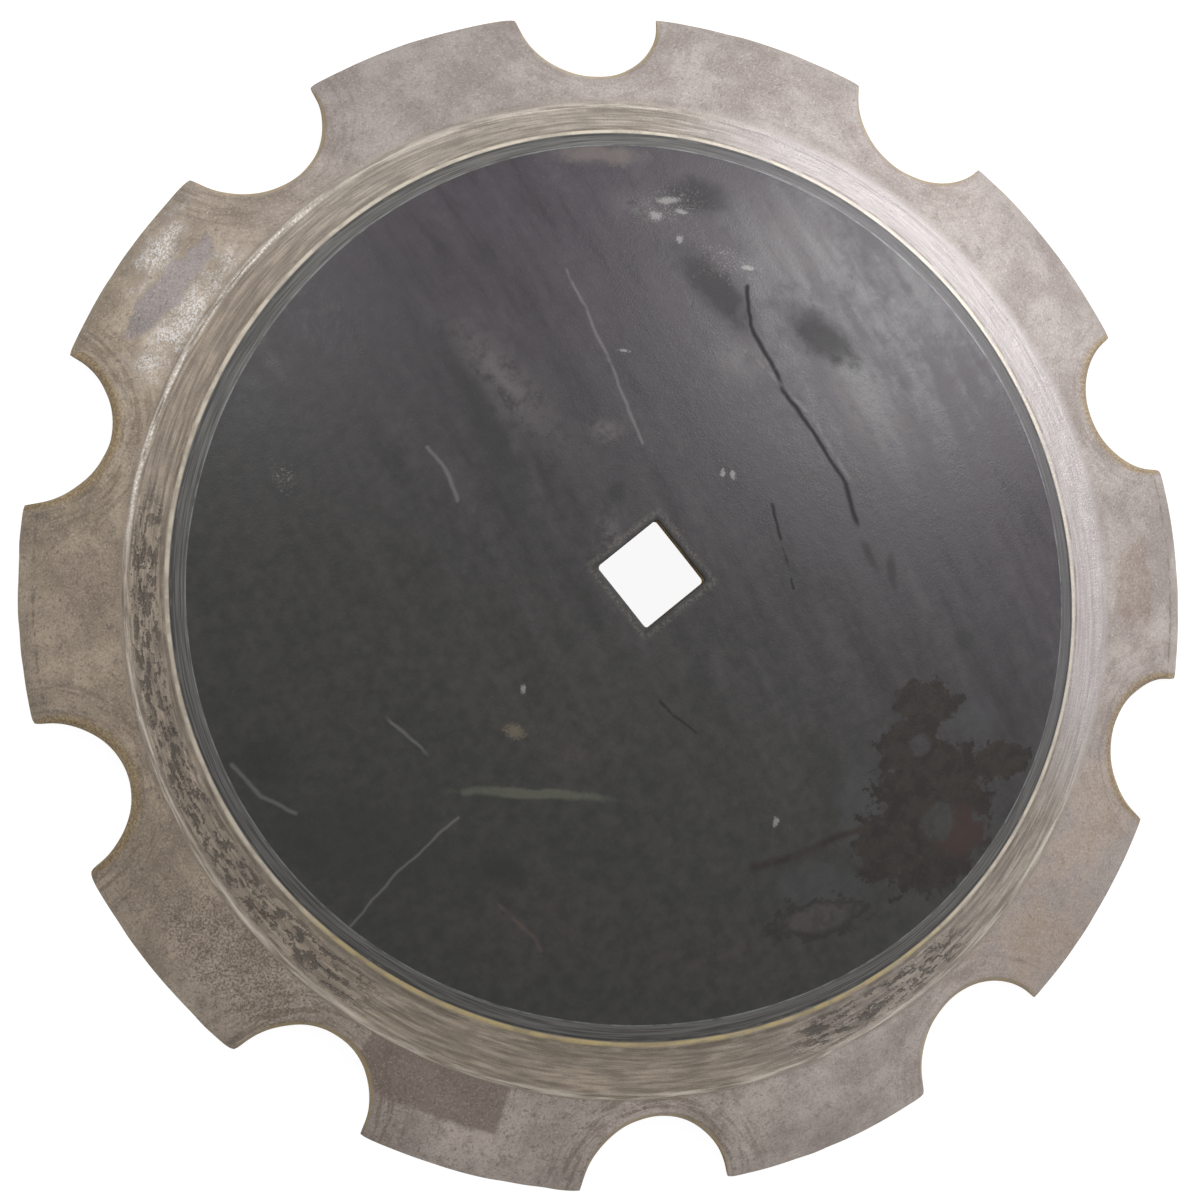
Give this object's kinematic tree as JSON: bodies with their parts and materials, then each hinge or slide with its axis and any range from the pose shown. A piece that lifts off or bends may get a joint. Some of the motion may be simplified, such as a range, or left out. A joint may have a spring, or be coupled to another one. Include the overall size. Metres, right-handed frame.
{
  "type": "harrow disc blade",
  "caption": "Notched harrow disc blade: a shallow spherical steel dish with a square axle hole in its crown, round notches cropped into its rim and a bevelled cutting edge.",
  "frame": {"origin": "centre of the blade, in the plane of its cutting edge, which it lies on", "axes": "+Z along the blade's axis towards its crown, +X at the middle of a tooth, +Y at the middle of a notch; the axle hole's sides lie along X and Y"},
  "size_m": [0.61, 0.6052, 0.0857],
  "materials": {
    "worn_steel": "dark scale in the middle, worn brown-grey steel on the rim"
  },
  "bodies": {
    "root": {"disc_blade": "worn_steel"}
  },
  "joints": []
}
